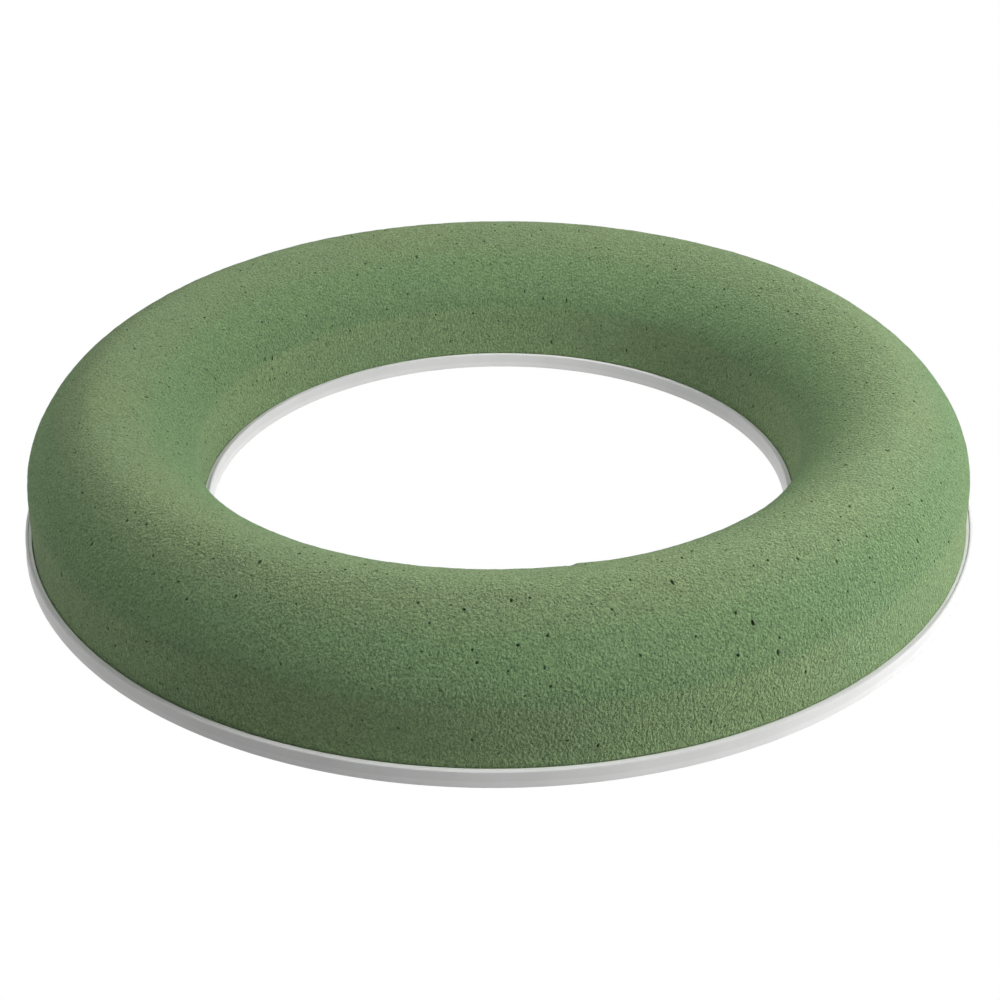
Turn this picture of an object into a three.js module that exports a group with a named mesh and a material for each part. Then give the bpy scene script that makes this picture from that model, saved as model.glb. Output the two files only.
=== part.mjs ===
// Wreath frame: a domed ring of green floral foam, bonded into a shallow channel tray of white plastic.
// Millimetres, +Z up. The origin is the centre of the ring, on the surface that the tray stands on.
import * as THREE from 'three';

// Plan of the ring
const OUTER_RADIUS = 150;
const INNER_RADIUS = 92.3;
const RING_SEGMENTS = 72;
const CLEARANCE = 0.3; // between pieces that touch on the real object

// Tray: both rims have one section, given by distances in from the rim's visible face and heights
const RIM_THICKNESS = 2.3;
const FOOT_EDGE = 0.2;
const FOOT_WIDTH = 1.6;
const FLARE_INSET = 0.25;
const FLARE_HEIGHT = 1.9;
const WALL_INSET = 0.4;
const LIP_INSET = 0.55;
const LIP_HEIGHT = 4.8;
const LEDGE_INSET = 1.2;
const LEDGE_HEIGHT = 4.55;
const FLOOR_TOP = 2.8;
const FLOOR_THICKNESS = 1.2;

// Foam: a straight skirt up to the shoulders, then a dome whose crest lies outside the middle
const FOAM_BOTTOM = 4.0;
const FOAM_BOTTOM_CHAMFER = 0.3;
const SHOULDER_HEIGHT = 21.9;
const OUTER_SHOULDER_RADIUS = 146.9;
const INNER_SHOULDER_RADIUS = 95.25;
const CREST_RADIUS = 124.5;
const FOAM_HEIGHT = 44.3;
const OUTER_DOME_EXPONENT = 1.57;
const INNER_DOME_EXPONENT = 1.68;
const DOME_STEPS = 9;

// Dabs of set hot-melt adhesive between the tray's floor and the foam
const BEAD_COUNT = 8;
const BEAD_RADIUS = 7;
const BEAD_EDGE_HEIGHT = 0.3;
const BEAD_SEGMENTS = 16;
const BEAD_CIRCLE_RADIUS = (OUTER_RADIUS + INNER_RADIUS) / 2;

const UPRIGHT = Math.PI / 2; // turns a lathe's Y axis up to +Z

function latheMesh(name, outline, segments, material) {
  const geometry = new THREE.LatheGeometry(outline, segments);
  geometry.rotateX(UPRIGHT);
  const mesh = new THREE.Mesh(geometry, material);
  mesh.name = name;
  return mesh;
}

// A closed outline runs anticlockwise, with the radius to the right and the height upwards.
function closed(points) {
  return [...points, points[0].clone()];
}

// One rim's section, from the foot up over the lip, down to the ledge that meets the foam, and to the floor
function rimPoints(radiusAt) {
  const section = [
    [FOOT_EDGE, 0],
    [0, FOOT_EDGE],
    [FLARE_INSET, FLARE_HEIGHT],
    [WALL_INSET, LIP_HEIGHT - (LIP_INSET - WALL_INSET)],
    [LIP_INSET, LIP_HEIGHT],
    [LEDGE_INSET, LIP_HEIGHT],
    [LEDGE_INSET, LEDGE_HEIGHT],
    [RIM_THICKNESS, LEDGE_HEIGHT],
    [RIM_THICKNESS, FLOOR_TOP],
  ];
  return section.map(([inset, height]) => new THREE.Vector2(radiusAt(inset), height));
}

function makeTray() {
  const plastic = new THREE.MeshStandardMaterial({ color: 0xe6e8ea, roughness: 0.4, metalness: 0 });
  const outerRim = rimPoints((inset) => OUTER_RADIUS - inset);
  const innerRim = rimPoints((inset) => INNER_RADIUS + inset).reverse();
  const recessTop = FLOOR_TOP - FLOOR_THICKNESS;
  const outerRecessRadius = OUTER_RADIUS - FOOT_WIDTH;
  const innerRecessRadius = INNER_RADIUS + FOOT_WIDTH;
  const recess = [
    new THREE.Vector2(innerRecessRadius, 0),
    new THREE.Vector2(innerRecessRadius, recessTop),
    new THREE.Vector2(outerRecessRadius, recessTop),
    new THREE.Vector2(outerRecessRadius, 0),
  ];
  return latheMesh('tray', closed([...outerRim, ...innerRim, ...recess]), RING_SEGMENTS, plastic);
}

// A quarter of a superellipse, from the shoulder (turn 0) to the crest (turn 1)
function domePoint(shoulderRadius, exponent, turn) {
  const angle = (turn * Math.PI) / 2;
  const across = (shoulderRadius - CREST_RADIUS) * Math.cos(angle) ** (2 / exponent);
  const up = (FOAM_HEIGHT - SHOULDER_HEIGHT) * Math.sin(angle) ** (2 / exponent);
  return new THREE.Vector2(CREST_RADIUS + across, SHOULDER_HEIGHT + up);
}

function makeFoamRing() {
  const foam = new THREE.MeshStandardMaterial({ color: 0x7f9b6d, roughness: 1, metalness: 0 });
  const outerSkirtRadius = OUTER_RADIUS - RIM_THICKNESS - CLEARANCE;
  const innerSkirtRadius = INNER_RADIUS + RIM_THICKNESS + CLEARANCE;
  const outline = [
    new THREE.Vector2(outerSkirtRadius - FOAM_BOTTOM_CHAMFER, FOAM_BOTTOM),
    new THREE.Vector2(outerSkirtRadius, FOAM_BOTTOM + FOAM_BOTTOM_CHAMFER),
  ];
  for (let step = 0; step < DOME_STEPS; step += 1) {
    outline.push(domePoint(OUTER_SHOULDER_RADIUS, OUTER_DOME_EXPONENT, step / DOME_STEPS));
  }
  outline.push(new THREE.Vector2(CREST_RADIUS, FOAM_HEIGHT));
  for (let step = DOME_STEPS - 1; step >= 0; step -= 1) {
    outline.push(domePoint(INNER_SHOULDER_RADIUS, INNER_DOME_EXPONENT, step / DOME_STEPS));
  }
  outline.push(
    new THREE.Vector2(innerSkirtRadius, FOAM_BOTTOM + FOAM_BOTTOM_CHAMFER),
    new THREE.Vector2(innerSkirtRadius + FOAM_BOTTOM_CHAMFER, FOAM_BOTTOM),
  );
  return latheMesh('foam_ring', closed(outline), RING_SEGMENTS, foam);
}

function makeAdhesiveBead(index) {
  const adhesive = new THREE.MeshStandardMaterial({ color: 0xe8e0cc, roughness: 0.3, metalness: 0 });
  const bottom = FLOOR_TOP + CLEARANCE;
  const top = FOAM_BOTTOM - CLEARANCE;
  const outline = [
    new THREE.Vector2(0, bottom),
    new THREE.Vector2(BEAD_RADIUS, bottom),
    new THREE.Vector2(BEAD_RADIUS, bottom + BEAD_EDGE_HEIGHT),
    new THREE.Vector2(BEAD_RADIUS - (top - bottom), top),
    new THREE.Vector2(0, top),
  ];
  const bead = latheMesh(`adhesive_bead_${index + 1}`, outline, BEAD_SEGMENTS, adhesive);
  const angle = ((index + 0.5) / BEAD_COUNT) * 2 * Math.PI;
  bead.position.set(BEAD_CIRCLE_RADIUS * Math.cos(angle), BEAD_CIRCLE_RADIUS * Math.sin(angle), 0);
  return bead;
}

const wreathFrame = new THREE.Group();
wreathFrame.add(makeTray(), makeFoamRing());
for (let index = 0; index < BEAD_COUNT; index += 1) {
  wreathFrame.add(makeAdhesiveBead(index));
}

export default wreathFrame;
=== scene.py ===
"""Looks of the wreath frame: a ring of floral foam in a shallow tray of white plastic, on a white floor.

Metres, +Z up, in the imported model's frame: the ring's axis is Z, and the tray stands on Z = 0.
Foam and tray are turned from the sections of their CAD nodes, with finer steps and softened corners,
and then get the small faults and the pores of the real thing. A turn of 0 is at +X, and 90 degrees at +Y.
"""
import math
import random

import bmesh
import bpy
import numpy as np
from mathutils import Matrix, Vector, noise


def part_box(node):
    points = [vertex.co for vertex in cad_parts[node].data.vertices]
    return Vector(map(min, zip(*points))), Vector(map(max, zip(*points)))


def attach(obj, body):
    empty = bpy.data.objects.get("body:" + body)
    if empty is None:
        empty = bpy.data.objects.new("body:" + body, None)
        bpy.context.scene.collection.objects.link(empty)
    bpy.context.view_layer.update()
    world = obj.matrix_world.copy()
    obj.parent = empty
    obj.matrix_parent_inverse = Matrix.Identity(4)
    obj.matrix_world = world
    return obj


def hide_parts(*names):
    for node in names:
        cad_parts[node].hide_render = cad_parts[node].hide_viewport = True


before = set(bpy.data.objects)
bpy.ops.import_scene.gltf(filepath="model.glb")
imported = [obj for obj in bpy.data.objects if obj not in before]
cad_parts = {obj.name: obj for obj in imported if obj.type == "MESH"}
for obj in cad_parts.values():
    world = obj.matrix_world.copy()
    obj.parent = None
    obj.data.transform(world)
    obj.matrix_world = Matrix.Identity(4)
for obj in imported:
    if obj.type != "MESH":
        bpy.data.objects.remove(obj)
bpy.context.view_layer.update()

MM = 0.001
SEED = 30

# Camera: it looks down on the ring from the front
CAMERA_DISTANCE = 0.56805
CAMERA_ELEVATION = math.radians(29.957)
CAMERA_PITCH = math.radians(-0.305)  # aim off the ring's centre
CAMERA_YAW = math.radians(0.044)
CAMERA_ROLL = math.radians(-0.49)
CAMERA_LENS = 62.76
CAMERA_SENSOR = 36

# Sections cut from the CAD nodes
CUT_TURN = math.radians(0.01)  # off +X, which keeps the cut off the mesh's own edges
MERGE_DISTANCE = 0.001 * MM
SECTION_GAP = 0.03 * MM  # points of a section that are closer than this count as one
STRAIGHT = 1e-3  # sine of the largest turn that still counts as straight
SAME_HEIGHT = 0.01 * MM  # points this close in height count as level
CORNER_SHARE = 0.4  # the largest share of an edge that goes into the curve at its end

# Foam skin
FOAM_SEGMENTS = 700
FOAM_ROW = 1.05 * MM
FOAM_ROUNDING = 2.0 * MM  # how far the CAD section's corners are smoothed
FOAM_FINE_STEP = 0.1 * MM  # the step of the section while it is smoothed
FOAM_UNDERSIDE_INSET = 0.5 * MM  # how far the underside's edges stand back from the skirts
SHOULDER_HEIGHT = 21.9 * MM
LEDGE_HEIGHT = 4.55 * MM  # where the skirts meet the tray's rims
SEAM_OFFSET = 0.06 * MM  # height of the skin's second row over the ledges
SEAM_BAND = 3.0 * MM  # the lowest part of the skirts, which swells over the ledges
SEAM_SWELL = 0.34 * MM
SEAM_GAP_DEPTH = 1.35  # times the swell
SEAM_GAP_FULLNESS = 0.3  # below 1, a gap keeps near its full depth over most of its length
SEAM_GAPS = (  # stretches where the foam doesn't reach the ledge: outer side or not, turn, half width
    (True, 215, 38), (False, 25, 32),
)
RELIEF = (  # size of the features, height over the dome, height over the skirts
    (45 * MM, 0.20 * MM, 0.15 * MM),
    (9 * MM, 0.07 * MM, 0.05 * MM),
    (3.2 * MM, 0.07 * MM, 0.05 * MM),
    (1.6 * MM, 0.08 * MM, 0.06 * MM),
)
STREAK_SIZE = 2.4 * MM  # cutter marks that run round the dome
STREAK_HEIGHT = 0.015 * MM
STREAK_DRIFT = 3  # how much the marks change round the ring

# Pores in the foam skin
PORE_COUNT = 1050
PORE_SHAPE_POINTS = 8  # two for each corner of the cell
PORE_MARGIN = 4  # rows at the skin's edges that stay without pores
LONG_PORE_SHARE = 0.16
PORE_RADIUS = (0.19 * MM, 0.52 * MM)
PORE_SMALLNESS = 1.4  # above 1, more of the pores are small
PORE_STRETCH = (1.5, 2.3)  # height over width of the long pores
PORE_ROUNDNESS = (0.85, 1.2)  # height over width of the others
PORE_RAGGEDNESS = (0.82, 1.08)  # reach of single points of a mouth, over its radius
PORE_DEPTH = (0.5 * MM, 1.2 * MM)
PORE_TAPER = 0.85  # width of a pore's floor over its mouth
PORE_LIMIT = 0.9  # the largest mouth, as a share of the cell it is cut from

# Chips along the foam's lower inner edge: turn in degrees, half width in degrees, depth
CHIPS = (
    (151.5, 0.9, 0.5 * MM), (155.0, 0.5, 0.3 * MM), (161.0, 0.8, 0.5 * MM),
    (164.5, 1.3, 0.4 * MM), (168.5, 0.7, 0.6 * MM), (171.0, 0.9, 0.4 * MM),
)
CHIP_HEIGHT = 1.6 * MM

# A nick in the inner shoulder, with the foam pushed up on its far side
NICK_TURN = 279.9
NICK_PLACE = (109 * MM, 5 * MM)  # radius and reach across the ring
NICK_WIDTH = 0.8  # degrees
NICK_DEPTH = 0.4 * MM
NICK_RIDGE = (8.0, 0.38 * MM)  # length in degrees and height

# Tray
TRAY_SEGMENTS = 360
TRAY_ROUNDING = 0.14 * MM
TRAY_WAVE = (60 * MM, 0.05 * MM)  # length and height of the rims' waviness
TRAY_WAVE_START = (0.5 * MM, 2 * MM)  # heights where it sets in, so that the feet stay flat

# Adhesive
DAB_SEGMENTS = 40
DAB_ROWS = 7
DAB_SPREAD = (0.88, 0.1)  # share of the bead's radius, and its unevenness
DAB_FLATNESS = 0.72  # width at the top and bottom over the width at the middle
DAB_LOBES = 1.3  # a larger value gives the outline more lobes


# ---------------------------------------------------------------- sections

def cad_section(node):
    """The outline of a turned CAD node, as anticlockwise (radius, height) points.

    It comes from a cut close to +X, without the points that the cut adds on straight runs.
    """
    bm = bmesh.new()
    bm.from_mesh(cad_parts[node].data)
    bmesh.ops.remove_doubles(bm, verts=bm.verts, dist=MERGE_DISTANCE)
    normal = (-math.sin(CUT_TURN), math.cos(CUT_TURN), 0)
    geometry = bm.verts[:] + bm.edges[:] + bm.faces[:]
    cut = bmesh.ops.bisect_plane(bm, geom=geometry, plane_co=(0, 0, 0), plane_no=normal)
    edges = [e for e in cut["geom_cut"] if isinstance(e, bmesh.types.BMEdge) and e.verts[0].co.x > 0]
    onward = {}
    for edge in edges:
        for here, there in (edge.verts, reversed(edge.verts)):
            onward.setdefault(here, []).append(there)
    start = min(onward, key=lambda v: (v.co.z, -v.co.x))
    outline, last, here = [], None, start
    while here is not start or not outline:
        outline.append((math.hypot(here.co.x, here.co.y), here.co.z))
        ahead = [v for v in onward[here] if v is not last]
        last, here = here, ahead[0]
    bm.free()
    points = np.array(outline)
    gaps = np.hypot(*(points - np.roll(points, 1, 0)).T)
    points = points[gaps > SECTION_GAP]
    points = points[~is_straight(points)]
    return points if area(points) > 0 else points[::-1]


def is_straight(points):
    """Which points of a closed outline lie on a straight run between their neighbours."""
    before = points - np.roll(points, 1, 0)
    after = np.roll(points, -1, 0) - points
    turn = before[:, 0] * after[:, 1] - before[:, 1] * after[:, 0]
    return np.abs(turn) < STRAIGHT * np.hypot(*before.T) * np.hypot(*after.T)


def area(points):
    """The area inside a closed outline, below 0 where it runs clockwise."""
    following = np.roll(points, -1, 0)
    return (points[:, 0] * following[:, 1] - following[:, 0] * points[:, 1]).sum() / 2


def rounded(points, radius, steps=3):
    """A closed outline with each corner turned into a short curve."""
    curve = []
    for before, corner, after in zip(np.roll(points, 1, 0), points, np.roll(points, -1, 0)):
        reach = [min(radius, CORNER_SHARE * np.linalg.norm(end - corner)) for end in (before, after)]
        first = corner + (before - corner) / np.linalg.norm(before - corner) * reach[0]
        last = corner + (after - corner) / np.linalg.norm(after - corner) * reach[1]
        for step in range(steps):
            t = step / (steps - 1)
            curve.append(first * (1 - t) ** 2 + corner * 2 * t * (1 - t) + last * t ** 2)
    return np.array(curve)


def resampled(points, step):
    """An open line with its points evenly spaced, about a step apart."""
    run = np.concatenate([[0], np.cumsum(np.linalg.norm(np.diff(points, axis=0), axis=1))])
    places = np.linspace(0, run[-1], round(run[-1] / step) + 1)
    return np.stack([np.interp(places, run, column) for column in points.T], 1)


def softened(points, step, width):
    """An open, evenly stepped line with its corners blurred over about that width. Its ends stay."""
    reach = np.arange(-math.ceil(3 * width / step), math.ceil(3 * width / step) + 1) * step
    weight = np.exp(-(reach / width) ** 2 / 2)
    weight /= weight.sum()
    margin = len(reach) // 2
    extended = np.pad(points, ((margin, margin), (0, 0)), mode="reflect", reflect_type="odd")
    return np.stack([np.convolve(column, weight, "valid") for column in extended.T], 1)


def foam_skin_line():
    """The foam's section without its underside: up the outer skirt, over the dome, and down again.

    Its second point and its last but one lie just above the tray's ledges.
    """
    outline = cad_section("foam_ring")
    above = outline[:, 1] > outline[:, 1].min() + SAME_HEIGHT
    first = np.flatnonzero(above & ~np.roll(above, 1))[0]
    skin = np.roll(outline, -first, 0)[: above.sum()]
    fine = resampled(skin, FOAM_FINE_STEP)
    line = resampled(softened(fine, FOAM_FINE_STEP, FOAM_ROUNDING), FOAM_ROW)
    seam = LEDGE_HEIGHT + SEAM_OFFSET
    outer_seam, inner_seam = [(line[0, 0], seam)], [(line[-1, 0], seam)]
    return np.concatenate([line[:1], outer_seam, line[1:-1], inner_seam, line[-1:]])


# ---------------------------------------------------------------- meshes

def ring_grid(section, segments):
    """Points of a ring of revolution, as an array of segments by section points by 3."""
    turn = np.arange(segments) / segments * 2 * math.pi
    radius, height = section.T
    level = np.broadcast_to(height, (segments, len(height)))
    return np.stack([np.outer(np.cos(turn), radius), np.outer(np.sin(turn), radius), level], 2)


def ring_normals(section, segments):
    """Outward unit normals that go with ring_grid's points, for an anticlockwise section."""
    along = np.roll(section, -1, 0) - np.roll(section, 1, 0)
    along /= np.linalg.norm(along, axis=1)[:, None]
    return ring_grid(np.stack([along[:, 1], -along[:, 0]], 1), segments)


def ring_faces(segments, rows, skipped=()):
    """Quads of a closed ring, facing out, without the skipped (segment, row) cells."""
    faces = []
    for i in range(segments):
        ahead = (i + 1) % segments
        for j in range(rows):
            if (i, j) not in skipped:
                above = (j + 1) % rows
                faces.append((i * rows + j, ahead * rows + j, ahead * rows + above, i * rows + above))
    return faces


CHANNEL_SPACING = 40  # how far apart in the noise the channels lie, in features


def wobble(points, size, channel=0):
    """Smooth noise from -1 to 1 at each point, with features of about that size."""
    shift = Vector((0, 0, CHANNEL_SPACING * channel))
    values = [noise.noise(Vector(p) + shift) for p in points.reshape(-1, 3) / size]
    return np.array(values).reshape(points.shape[:-1])


def bump(distance, reach):
    """A smooth hump: 1 at no distance, and 0 from the reach on."""
    near = np.clip(1 - np.abs(distance) / reach, 0, 1)
    return near * near * (3 - 2 * near)


def ease(value, low, high):
    """0 below low, 1 above high, and smooth between."""
    t = np.clip((value - low) / (high - low), 0, 1)
    return t * t * (3 - 2 * t)


def add_piece(name, points, faces, materials, second=()):
    """A new object. The faces listed in second get the second material and no smoothing."""
    mesh = bpy.data.meshes.new(name)
    mesh.from_pydata(points, [], faces)
    for material in materials:
        mesh.materials.append(material)
    in_second = np.zeros(len(faces), bool)
    in_second[list(second)] = True
    mesh.polygons.foreach_set("use_smooth", ~in_second)
    mesh.polygons.foreach_set("material_index", in_second.astype(np.int32))
    mesh.validate()
    mesh.update()
    piece = bpy.data.objects.new(name, mesh)
    bpy.context.scene.collection.objects.link(piece)
    return piece


def stand_for(piece, nodes):
    """Puts a piece in the place of CAD nodes: it hangs the piece from the root body and hides the nodes.
    """
    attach(piece, "root")
    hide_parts(*nodes)


# ---------------------------------------------------------------- foam

def seam_swell(radius, height, turn):
    """How far the skirts bulge over the tray's ledges. It varies round the ring."""
    outer = radius > (radius.min() + radius.max()) / 2
    pressed = np.ones(height.shape)
    for on_outer, place, half_width in SEAM_GAPS:
        off = (np.degrees(turn) - place + 180) % 360 - 180
        gap = SEAM_GAP_DEPTH * bump(off, half_width) ** SEAM_GAP_FULLNESS
        pressed -= gap * (outer == on_outer)
    band = (height > LEDGE_HEIGHT) * (1 - ease(height, LEDGE_HEIGHT, LEDGE_HEIGHT + SEAM_BAND))
    return SEAM_SWELL * band * pressed


def nick(radius, turn):
    """The height of the nick and its ridge."""
    place, reach = NICK_PLACE
    length, height = NICK_RIDGE
    off = (np.degrees(turn) - NICK_TURN) % 360
    ridge = height * ease(off, 0, NICK_WIDTH) * (1 - ease(off, NICK_WIDTH, length))
    dent = NICK_DEPTH * bump((off + 180) % 360 - 180, NICK_WIDTH)
    return (ridge - dent) * bump(radius - place, reach)


def foam_relief(grid, rows_on_skin):
    """How far each point of the foam stands proud of its smooth section."""
    skin = grid[:, :rows_on_skin]
    radius, height = np.hypot(skin[..., 0], skin[..., 1]), skin[..., 2]
    dome = ease(height, SHOULDER_HEIGHT - MM, SHOULDER_HEIGHT + MM)
    bottom = height.min()
    relief = np.zeros(height.shape)
    for channel, (size, over_dome, over_skirt) in enumerate(RELIEF):
        relief += wobble(skin, size, channel) * (over_skirt + (over_dome - over_skirt) * dome)
    turn = np.arctan2(skin[..., 1], skin[..., 0])
    drift = STREAK_DRIFT * np.stack([np.cos(turn), np.sin(turn), 0 * turn], -1)
    streaks = wobble(np.stack([radius, height, 0 * turn], -1) / STREAK_SIZE + drift, 1)
    relief += streaks * STREAK_HEIGHT * dome + nick(radius, turn) * dome
    clear = ease(height, bottom + MM, bottom + SEAM_BAND + MM)
    relief = relief * clear + seam_swell(radius, height, turn)
    inner = radius < (radius.min() + radius.max()) / 2
    low = bump(height - bottom, CHIP_HEIGHT) * inner
    for place, half_width, depth in CHIPS:
        relief -= depth * low * bump(np.degrees(turn) - place, half_width)
    full = np.zeros(grid.shape[:2])
    full[:, :rows_on_skin] = relief
    return full


def pore_sites(rng, rows_on_skin):
    """Cells of the skin to turn into pores, as (segment, row, rows tall), never side by side."""
    taken, sites = set(), []
    while len(sites) < PORE_COUNT:
        tall = 2 if rng.random() < LONG_PORE_SHARE else 1
        last_row = rows_on_skin - PORE_MARGIN - 1 - tall
        i, j = rng.randrange(FOAM_SEGMENTS), rng.randrange(PORE_MARGIN, last_row)
        around = {((i + a) % FOAM_SEGMENTS, j + b) for a in (-1, 0, 1) for b in range(-1, tall + 1)}
        if not around & taken:
            taken |= around
            sites.append((i, j, tall))
    return sites


def pore_shape(rng, corners, tall, normal):
    """The points of a pore's ragged mouth, inside the corners of its cell, and those of its floor."""
    lower_left, lower_right, upper_right, upper_left = corners
    centre = (lower_left + lower_right + upper_right + upper_left) / 4
    across = (lower_right + upper_right - lower_left - upper_left) / 4
    along = (upper_left + upper_right - lower_left - lower_right) / 4
    smallest, largest = PORE_RADIUS
    radius = smallest + (largest - smallest) * rng.random() ** PORE_SMALLNESS
    stretch = rng.uniform(*PORE_STRETCH) if tall else rng.uniform(*PORE_ROUNDNESS)
    across_size = min(radius / np.linalg.norm(across), PORE_LIMIT)
    along_size = min(radius * stretch / np.linalg.norm(along), PORE_LIMIT)
    depth = rng.uniform(*PORE_DEPTH) * (0.5 + 0.5 * radius / largest)
    mouth = []
    for k in range(PORE_SHAPE_POINTS):
        angle = (k + 0.5) / PORE_SHAPE_POINTS * 2 * math.pi - math.pi
        ragged = rng.uniform(*PORE_RAGGEDNESS)
        x, y = math.cos(angle) * across_size * ragged, math.sin(angle) * along_size * ragged
        mouth.append(centre + across * x + along * y)
    return mouth, [centre + (p - centre) * PORE_TAPER - normal * depth for p in mouth]


def collar_faces(corners, sides, mouth):
    """Faces between a cell's corners and a pore's mouth. A tall cell has a side point on each flank."""
    faces = []
    for k in range(4):
        here, there = corners[k], corners[(k + 1) % 4]
        left, right = mouth[2 * k + 1], mouth[(2 * k + 2) % PORE_SHAPE_POINTS]
        faces.append((here, left, mouth[2 * k]))
        if sides and k % 2:
            middle = sides[k // 2]
            faces += [(here, middle, left), (middle, right, left), (middle, there, right)]
        else:
            faces.append((here, there, right, left))
    return faces


def carve_pore(rng, points, faces, corners, sides, normal):
    """Fills a gap in the skin with a pore: a collar, a wall that leans in, and a floor.

    It adds to points and faces, and returns the numbers of the faces inside the pore.
    """
    places = [np.array(points[c]) for c in corners]
    mouth_points, floor_points = pore_shape(rng, places, bool(sides), normal)
    first = len(points)
    points += [tuple(p) for p in mouth_points + floor_points]
    mouth = list(range(first, first + PORE_SHAPE_POINTS))
    floor = list(range(first + PORE_SHAPE_POINTS, first + 2 * PORE_SHAPE_POINTS))
    faces += collar_faces(corners, sides, mouth)
    first_inside = len(faces)
    for k in range(PORE_SHAPE_POINTS):
        ahead = (k + 1) % PORE_SHAPE_POINTS
        faces.append((mouth[k], mouth[ahead], floor[ahead], floor[k]))
    faces.append(tuple(floor))
    return range(first_inside, len(faces))


def make_foam(skin_material, shaded_pores_material):
    """The foam: its softened section turned into a ring, with relief and pores. The pores' insides get
    the second material, a darker one: painted shade.
    """
    rng = random.Random(SEED)
    skin = foam_skin_line()
    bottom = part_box("foam_ring")[0].z
    inset = FOAM_UNDERSIDE_INSET
    section = np.concatenate([skin, [(skin[-1, 0] + inset, bottom), (skin[0, 0] - inset, bottom)]])
    rows = len(section)
    grid, normals = ring_grid(section, FOAM_SEGMENTS), ring_normals(section, FOAM_SEGMENTS)
    grid = grid + normals * foam_relief(grid, len(skin))[..., None]
    sites = pore_sites(rng, len(skin))
    skipped = {(i, j + step) for i, j, tall in sites for step in range(tall)}
    points = [tuple(p) for p in grid.reshape(-1, 3)]
    faces = ring_faces(FOAM_SEGMENTS, rows, skipped)
    inside = []
    for i, j, tall in sites:
        ahead = (i + 1) % FOAM_SEGMENTS
        corners = [i * rows + j, ahead * rows + j, ahead * rows + j + tall, i * rows + j + tall]
        sides = [ahead * rows + j + 1, i * rows + j + 1] if tall == 2 else []
        inside += carve_pore(rng, points, faces, corners, sides, normals[i, j])
    # the faces inside the pores get the darker material: painted shade
    foam = add_piece("foam_skin", points, faces, [skin_material, shaded_pores_material], inside)
    stand_for(foam, ["foam_ring"])


# ---------------------------------------------------------------- tray and adhesive

def make_tray(material):
    """The tray: its CAD section with rounded corners, turned, and slightly wavy above the feet."""
    section = rounded(cad_section("tray"), TRAY_ROUNDING)
    grid = ring_grid(section, TRAY_SEGMENTS)
    size, height = TRAY_WAVE
    foot_free = ease(grid[..., 2], *TRAY_WAVE_START)
    grid[..., 2] -= (1 + wobble(grid, size)) * 0.5 * height * foot_free
    points = [tuple(p) for p in grid.reshape(-1, 3)]
    tray = add_piece("tray_shell", points, ring_faces(TRAY_SEGMENTS, len(section)), [material])
    stand_for(tray, ["tray"])


def make_dab(node, material):
    """A dab of adhesive squeezed flat between the tray's floor and the foam, in place of a CAD bead."""
    low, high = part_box(node)
    centre, radius = (low + high) / 2, (high.x - low.x) / 2
    half_height = (high.z - low.z) / 2
    share, unevenness = DAB_SPREAD
    points = []
    for row in range(1, DAB_ROWS):
        tilt = row / DAB_ROWS * math.pi - math.pi / 2
        for k in range(DAB_SEGMENTS):
            turn = k / DAB_SEGMENTS * 2 * math.pi
            heading = Vector((math.cos(turn), math.sin(turn), 0))
            spread = share + unevenness * noise.noise(heading * DAB_LOBES + centre / MM)
            reach = radius * spread * (DAB_FLATNESS + (1 - DAB_FLATNESS) * math.cos(tilt))
            lift = Vector((0, 0, half_height * math.sin(tilt)))
            points.append(tuple(centre + heading * reach + lift))
    rings = DAB_ROWS - 1
    faces = [
        (r * DAB_SEGMENTS + k, r * DAB_SEGMENTS + (k + 1) % DAB_SEGMENTS,
         (r + 1) * DAB_SEGMENTS + (k + 1) % DAB_SEGMENTS, (r + 1) * DAB_SEGMENTS + k)
        for r in range(rings - 1) for k in range(DAB_SEGMENTS)
    ]
    faces.append(tuple(reversed(range(DAB_SEGMENTS))))
    faces.append(tuple(range((rings - 1) * DAB_SEGMENTS, rings * DAB_SEGMENTS)))
    dab = add_piece(node.replace("bead", "dab"), points, faces, [material])
    stand_for(dab, [node])


# ---------------------------------------------------------------- materials

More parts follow.
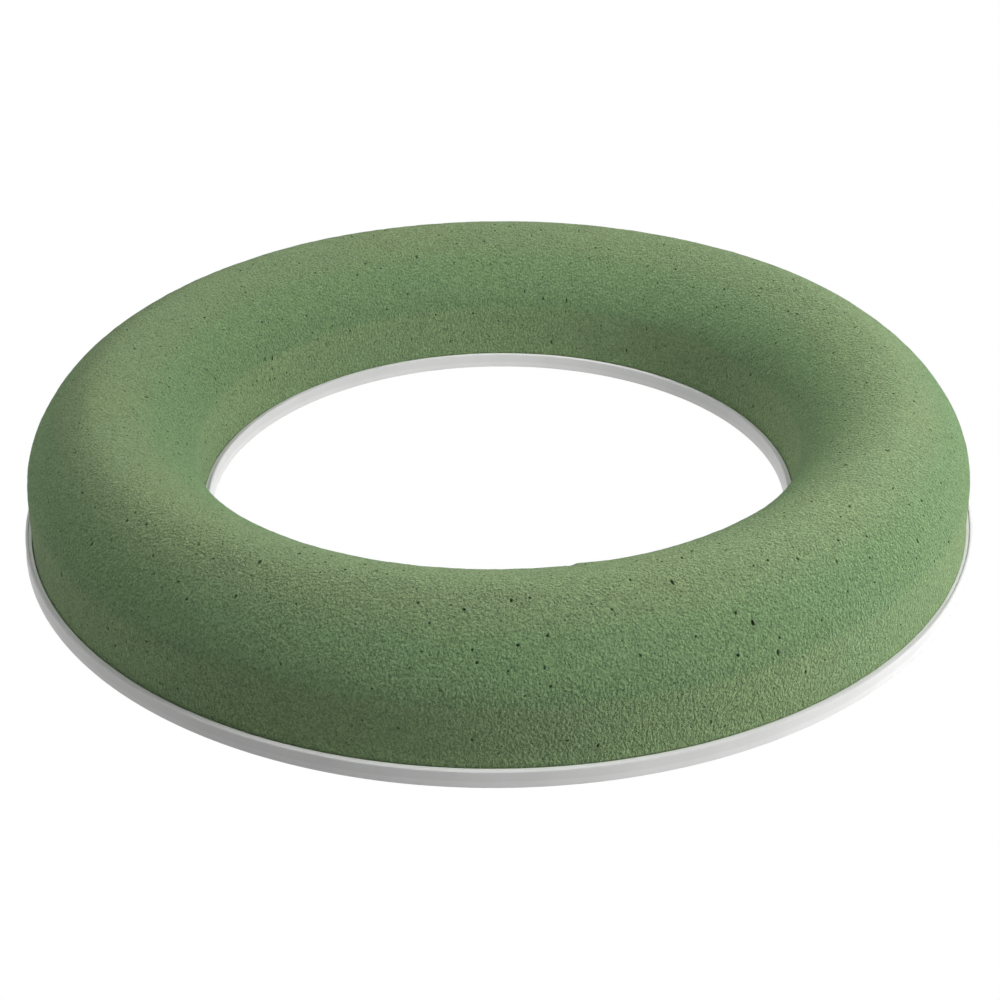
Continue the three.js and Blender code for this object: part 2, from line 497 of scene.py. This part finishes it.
class Shading:
    """A material and short ways to add nodes to it. Sizes are in metres, in the object's own space."""

    def __init__(self, name):
        self.material = bpy.data.materials.new(name)
        self.material.use_nodes = True
        self.tree = self.material.node_tree
        self.shader = self.tree.nodes["Principled BSDF"]
        self.place = self.add("TexCoord", {}).outputs["Object"]

    def add(self, kind, inputs, **settings):
        node = self.tree.nodes.new("ShaderNode" + kind)
        for name, value in settings.items():
            setattr(node, name, value)
        for key, value in inputs.items():
            self.feed(node.inputs[key], value)
        return node

    def feed(self, socket, value):
        if isinstance(value, bpy.types.NodeSocket):
            self.tree.links.new(value, socket)
        else:
            socket.default_value = value

    def set(self, **inputs):
        """Sets the shader's inputs; an underscore in a name stands for a space."""
        for name, value in inputs.items():
            self.feed(self.shader.inputs[name.replace("_", " ")], value)

    def noise(self, size, detail=2.0, roughness=0.5, place=None, distortion=0.0):
        inputs = {"Vector": place or self.place, "Scale": 1 / size, "Detail": detail,
                  "Roughness": roughness, "Distortion": distortion}
        return self.add("TexNoise", inputs).outputs["Fac"]

    def math(self, operation, *values):
        return self.add("Math", dict(enumerate(values)), operation=operation).outputs[0]

    def ramp(self, value, low, high, to_low=0.0, to_high=1.0, smooth=False):
        """Maps low to to_low and high to to_high, and stays there beyond them."""
        inputs = {"Value": value, "From Min": low, "From Max": high, "To Min": to_low, "To Max": to_high}
        kind = "SMOOTHSTEP" if smooth else "LINEAR"
        return self.add("MapRange", inputs, interpolation_type=kind).outputs["Result"]

    def mix(self, share, first, second, blend="MIX"):
        node = self.add("Mix", {0: share, 6: first, 7: second}, data_type="RGBA", blend_type=blend)
        return node.outputs[2]

    def spots(self, size, share, radius, soft):
        """Round spots, 1 in the middle: one in each cell of that size, in that share of the cells."""
        cells = self.add("TexVoronoi", {"Vector": self.place, "Scale": 1 / size})
        core, edge = radius / size, (radius + soft) / size
        spot = self.ramp(cells.outputs["Distance"], core, edge, 1, 0, smooth=True)
        chance = self.add("SeparateColor", {0: cells.outputs["Color"]}).outputs[0]
        return self.math("MULTIPLY", spot, self.math("LESS_THAN", chance, share))

    def coordinates(self):
        """Distance from the ring's axis, and height."""
        apart = self.add("SeparateXYZ", {0: self.place})
        x, y, z = apart.outputs
        squares = self.math("ADD", self.math("MULTIPLY", x, x), self.math("MULTIPLY", y, y))
        return self.math("SQRT", squares), z


NOISE_RANGE = (0.3, 0.7)  # most of a noise texture's values lie in it
RICH = (3, 0.6)  # detail and roughness of the noises that are more than soft patches

FOAM_CREST_GREEN = (0.191, 0.266, 0.1366, 1)
FOAM_SLOPE_GREEN = (0.1685, 0.266, 0.1297, 1)
FOAM_SKIRT_GREEN = (0.195, 0.284, 0.140, 1)
COOL_TINT = (0.986, 1.0, 1.008, 1)
WARM_TINT = (1.016, 1.0, 0.982, 1)
COOL_PATCH = 38 * MM
WARM_PATCH = 55 * MM
WARM_DISTORTION = 0.4
PATCH_EDGE = (0.45, 0.65)  # values of the patches' noise where the tint sets in and is full
CREST_BLEND = (35 * MM, 43 * MM)  # heights where the slope's colour turns into the crest's
SKIRT_BLEND = (SHOULDER_HEIGHT - MM, SHOULDER_HEIGHT + 2 * MM)
CELL_SIZE = 0.36 * MM
CELL_SQUASH = 0.72  # below 1, the cells stand upright
CELL_SHADE = 0.28  # how much lighter or darker single cells are: random tone, and painted shade, as the cells that sit lower in the relief are the darker ones
CELL_SHARE = 2.5  # weight of the cells against the clumps in the relief
CLUMP_SIZE = 0.8 * MM
CLUMP_NOISE = (1, 0.6)  # detail and roughness
CLUMP_DEPTH = 0.9 * MM
FINE_PORES = (1.3 * MM, 0.3, 0.16 * MM, 0.18 * MM)  # spacing, share of the places, radius, soft edge
PINHOLES = (0.8 * MM, 0.3, 0.1 * MM, 0.14 * MM)
# painted shade: the fine pores and pinholes are painted darker
FINE_PORE_PAINTED_SHADE = 0.6
FINE_PORE_RELIEF = 0.3
MOTTLE_SIZE = 5 * MM
MOTTLE_SHADE = 0.03
PORE_PAINTED_SHADE = 0.62  # painted shade inside the modelled pores: their brightness, over the skin's
FOAM_GLOSS = 0.1


def foam_ground(s):
    """The foam's broad colours: yellower crest and skirts, a greener slope, and soft uneven patches."""
    height = s.coordinates()[1]
    crest = s.ramp(height, *CREST_BLEND, smooth=True)
    skirt = s.ramp(height, *SKIRT_BLEND, 1, 0, smooth=True)
    ground = s.mix(skirt, s.mix(crest, FOAM_SLOPE_GREEN, FOAM_CREST_GREEN), FOAM_SKIRT_GREEN)
    cool = s.ramp(s.noise(COOL_PATCH), *PATCH_EDGE)
    warm = s.ramp(s.noise(WARM_PATCH, distortion=WARM_DISTORTION), *PATCH_EDGE)
    return s.mix(warm, s.mix(cool, ground, COOL_TINT, "MULTIPLY"), WARM_TINT, "MULTIPLY")


def foam_material(name, brightness):
    """Open-celled phenolic foam: very matte, with cells that stand upright, pores darkened with painted
    shade, and cells of random tone that are painted darker where they sit lower.
    """
    s = Shading(name)
    upright = s.add("Mapping", {"Vector": s.place, "Scale": (1, 1, CELL_SQUASH)}).outputs[0]
    cells = s.add("TexVoronoi", {"Vector": upright, "Scale": 1 / CELL_SIZE})
    tone = s.add("SeparateColor", {0: cells.outputs["Color"]}).outputs[0]
    clumps = s.noise(CLUMP_SIZE, *CLUMP_NOISE, place=upright)
    # painted pores and pinholes: spots of painted shade, a little lower in the relief
    dark = s.math("MAXIMUM", s.spots(*FINE_PORES), s.spots(*PINHOLES))
    mottle = s.ramp(s.noise(MOTTLE_SIZE, *RICH), *NOISE_RANGE, 1 - MOTTLE_SHADE, 1 + MOTTLE_SHADE)
    # random tone of the cells, and painted shade: the value that lightens a cell also raises it in the
    # relief, so lower cells are darker
    cell_tone_and_shade = s.ramp(tone, 0, 1, (1 - CELL_SHADE) * brightness, (1 + CELL_SHADE) * brightness)
    pore_painted_shade = s.ramp(dark, 0, 1, 1, FINE_PORE_PAINTED_SHADE)
    shade = s.math("MULTIPLY", s.math("MULTIPLY", mottle, cell_tone_and_shade), pore_painted_shade)
    tint = s.add("CombineColor", {0: shade, 1: shade, 2: shade}).outputs[0]
    relief = s.math("ADD", s.math("MULTIPLY", tone, CELL_SHARE), clumps)
    relief = s.math("SUBTRACT", relief, s.math("MULTIPLY", dark, FINE_PORE_RELIEF))
    bumps = s.add("Bump", {"Strength": 1.0, "Distance": CLUMP_DEPTH, "Height": relief})
    s.set(Base_Color=s.mix(1.0, foam_ground(s), tint, "MULTIPLY"), Normal=bumps.outputs[0])
    s.set(Roughness=1.0, Diffuse_Roughness=1.0, Specular_IOR_Level=FOAM_GLOSS)
    return s.material


PLASTIC_WHITE = (0.635, 0.635, 0.632, 1)
# the ledges' colour next to the foam: green dust, with painted shade and a painted green reflection of
# the foam
PLASTIC_DUST_AND_SHADE = (0.57, 0.605, 0.535, 1)
RING_MIDDLE = 121.15 * MM  # radius, halfway between the two rims
DUST_AND_SHADE_REACH = (26.6 * MM, 27.6 * MM)  # across the ledges, from the foam to the lip: green dust, with painted shade and a painted green reflection of the foam
DUST_AND_SHADE_GRAIN = 3 * MM
DUST_AND_SHADE_COVER = (0.3, 0.65)  # values of the noise where the dust and painted shade are thinnest and thickest
DUST_AND_SHADE_THICKNESS = (0.35, 1)
CLOUD_SIZE = 14 * MM
CLOUD_NOISE = (3, 0.55)  # detail and roughness
CLOUD_SHADE = (0.965, 1.03)
SPECKS = (9 * MM, 0.12, 0.14 * MM, 0.12 * MM)  # spacing, share of the places, radius, soft edge
SPECK_SHADE = 0.55
FLARE_PAINTED_LIGHT = 1.06  # painted light: the flare below the wall faces a little upward, and is painted a little brighter for that
FLARE_BLEND = (1.7 * MM, 2.1 * MM)
FLOW_SIZE = 2.5 * MM
FLOW_FINENESS = 6  # the flow lines run round the rims, and across them they are this much finer
FLOW_DEPTH = 0.05 * MM
FLOW_STRENGTH = 0.35
FINE_FLOW_SIZE = 0.8 * MM
FINE_FLOW_SHARE = 0.3
SATIN = (0.46, 0.6)  # least and greatest roughness
SATIN_PATCH = 6 * MM
PLASTIC_GLOSS = 0.12


def tray_material():
    """Thin white polystyrene: satin, with flow lines round the rims, green dust with painted shade and a
    painted green reflection of the foam on the ledges, and a flare painted brighter.
    """
    s = Shading("white_plastic")
    radius, height = s.coordinates()
    off_middle = s.math("ABSOLUTE", s.math("SUBTRACT", radius, RING_MIDDLE))
    # painted shade and painted green reflection of the foam, with green dust: full next to the foam, none
    # at the lips
    dust_and_shade = s.ramp(off_middle, *DUST_AND_SHADE_REACH, 1, 0)
    dust_and_shade_strength = s.ramp(s.noise(DUST_AND_SHADE_GRAIN, *RICH), *DUST_AND_SHADE_COVER, *DUST_AND_SHADE_THICKNESS)
    dust_and_shade = s.math("MULTIPLY", dust_and_shade, dust_and_shade_strength)
    cloud = s.ramp(s.noise(CLOUD_SIZE, *CLOUD_NOISE), *NOISE_RANGE, *CLOUD_SHADE)
    speck = s.ramp(s.spots(*SPECKS), 0, 1, 1, SPECK_SHADE)
    # painted light: the flare below the wall is painted brighter
    flare = s.ramp(height, *FLARE_BLEND, FLARE_PAINTED_LIGHT, 1)
    shade = s.math("MULTIPLY", s.math("MULTIPLY", cloud, speck), flare)
    tint = s.add("CombineColor", {0: shade, 1: shade, 2: shade}).outputs[0]
    white = s.mix(dust_and_shade, PLASTIC_WHITE, PLASTIC_DUST_AND_SHADE)
    across = s.math("MULTIPLY", radius, FLOW_FINENESS)
    upward = s.math("MULTIPLY", height, FLOW_FINENESS)
    level = s.add("CombineXYZ", {0: across, 1: upward})
    flow = s.noise(FLOW_SIZE, *RICH, place=level.outputs[0])
    fine_flow = s.noise(FINE_FLOW_SIZE)
    relief = s.math("ADD", flow, s.math("MULTIPLY", fine_flow, FINE_FLOW_SHARE))
    bumps = s.add("Bump", {"Strength": FLOW_STRENGTH, "Distance": FLOW_DEPTH, "Height": relief})
    s.set(Base_Color=s.mix(1.0, white, tint, "MULTIPLY"), Normal=bumps.outputs[0])
    s.set(Roughness=s.ramp(s.noise(SATIN_PATCH, *RICH), *NOISE_RANGE, *SATIN))
    s.set(Diffuse_Roughness=1.0, Specular_IOR_Level=PLASTIC_GLOSS)
    return s.material


ADHESIVE_CLEAR = (0.66, 0.60, 0.42, 1)
ADHESIVE_CLOUDY = (0.78, 0.73, 0.58, 1)
ADHESIVE_ROUGHNESS = (0.25, 0.4)
ADHESIVE_CLOUD = 2 * MM
BUBBLES = (1.2 * MM, 0.4, 0.15 * MM, 0.1 * MM)  # spacing, share of the places, radius, soft edge
BUBBLE_DEPTH = 0.1 * MM
BUBBLE_STRENGTH = 0.5


def adhesive_material():
    """Set hot-melt: a yellowish, slightly cloudy plastic with small bubbles."""
    s = Shading("adhesive")
    cloud = s.ramp(s.noise(ADHESIVE_CLOUD, *RICH), *NOISE_RANGE, 0, 1)
    bubbles = s.spots(*BUBBLES)
    bumps = s.add("Bump", {"Strength": BUBBLE_STRENGTH, "Distance": BUBBLE_DEPTH, "Height": bubbles})
    s.set(Base_Color=s.mix(cloud, ADHESIVE_CLEAR, ADHESIVE_CLOUDY), Normal=bumps.outputs[0])
    s.set(Roughness=s.ramp(cloud, 0, 1, *ADHESIVE_ROUGHNESS))
    return s.material


# ---------------------------------------------------------------- studio

FLOOR_RADIUS = 12
FLOOR_CORNERS = 64
FLOOR_SEEN = 1.0
FLOOR_GLOW = 0.55  # the light that the floor gives the ring is softer than its looks
WALL_BRIGHTNESS = 0.85
WALL_TOP = (0.5, 1.0)  # sines of the elevations where the wall starts to fade and where it is dark
SOFTBOXES = (  # name, turn, elevation, distance, side, watts
    ("key", 333, 36, 0.6, 0.35, 4.6),
    ("front_left_fill", 210, 40, 1.2, 0.8, 3.5),
    ("front_low_fill", 290, 12, 0.8, 0.3, 0.25),
    ("back_left_fill", 155, 54, 1.2, 0.8, 8.0),
    ("back_overhead", 90, 62, 0.4, 0.25, 0.3),
)


def make_camera():
    distance, elevation = CAMERA_DISTANCE, CAMERA_ELEVATION
    place = Vector((0, -distance * math.cos(elevation), distance * math.sin(elevation)))
    ahead = -place.normalized()
    right = Vector((1, 0, 0))
    up = right.cross(ahead)
    ahead = ahead * math.cos(CAMERA_PITCH) + up * math.sin(CAMERA_PITCH)
    ahead = ahead * math.cos(CAMERA_YAW) + right * math.sin(CAMERA_YAW)
    up = right.cross(ahead)
    right = ahead.cross(up).normalized()
    up = right.cross(ahead)
    level = Matrix((right, up, -ahead)).transposed()
    camera = bpy.data.objects.new("camera", bpy.data.cameras.new("camera"))
    camera.data.lens = CAMERA_LENS
    camera.data.sensor_width = CAMERA_SENSOR
    turned = level @ Matrix.Rotation(CAMERA_ROLL, 3, "Z")
    camera.matrix_world = Matrix.Translation(place) @ turned.to_4x4()
    bpy.context.scene.collection.objects.link(camera)
    bpy.context.scene.camera = camera


def add_floor(name, brightness, seen):
    """A large, plain, self-lit floor: one that is seen, or one that only gives light."""
    s = Shading(name)
    s.set(Base_Color=(0, 0, 0, 1), Specular_IOR_Level=0.0)
    s.set(Emission_Color=(1, 1, 1, 1), Emission_Strength=brightness)
    bpy.ops.mesh.primitive_circle_add(vertices=FLOOR_CORNERS, radius=FLOOR_RADIUS, fill_type="NGON")
    floor = bpy.context.object
    floor.name = name
    floor.data.materials.append(s.material)
    floor.visible_camera = floor.visible_glossy = floor.visible_transmission = seen
    floor.visible_diffuse = not seen
    floor.visible_shadow = False


def make_studio_walls():
    """The far surroundings: pale, and darker overhead."""
    world = bpy.data.worlds.new("studio")
    world.use_nodes = True
    tree = world.node_tree
    direction = tree.nodes.new("ShaderNodeTexCoord")
    apart = tree.nodes.new("ShaderNodeSeparateXYZ")
    fade = tree.nodes.new("ShaderNodeMapRange")
    fade.interpolation_type = "SMOOTHSTEP"
    fade.inputs["From Min"].default_value, fade.inputs["From Max"].default_value = WALL_TOP
    fade.inputs["To Min"].default_value = WALL_BRIGHTNESS
    fade.inputs["To Max"].default_value = 0
    tree.links.new(direction.outputs["Generated"], apart.inputs[0])
    tree.links.new(apart.outputs["Z"], fade.inputs["Value"])
    tree.links.new(fade.outputs["Result"], tree.nodes["Background"].inputs["Color"])
    bpy.context.scene.world = world
    world.cycles_visibility.diffuse = False  # only seen, and mirrored by the plastic


def add_softbox(name, turn, elevation, distance, side, watts):
    turn, elevation = math.radians(turn), math.radians(elevation)
    level = math.cos(elevation)
    back = Vector((math.cos(turn) * level, math.sin(turn) * level, math.sin(elevation)))
    light = bpy.data.lights.new(name, "AREA")
    light.size = side
    light.energy = watts
    softbox = bpy.data.objects.new(name, light)
    softbox.location = back * distance
    softbox.rotation_mode = "QUATERNION"
    softbox.rotation_quaternion = (-back).to_track_quat("-Z", "Y")
    softbox.visible_camera = False
    bpy.context.scene.collection.objects.link(softbox)


make_camera()
# the pores' insides are a darker copy of the foam: painted shade
make_foam(foam_material("floral_foam", 1.0), foam_material("foam_pores_painted_shade", PORE_PAINTED_SHADE))
make_tray(tray_material())
adhesive = adhesive_material()
for node in sorted(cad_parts):
    if node.startswith("adhesive_bead"):
        make_dab(node, adhesive)
add_floor("floor", FLOOR_SEEN, True)
add_floor("floor_glow", FLOOR_GLOW, False)
make_studio_walls()
for softbox in SOFTBOXES:
    add_softbox(*softbox)
bpy.context.scene.view_settings.view_transform = "Standard"
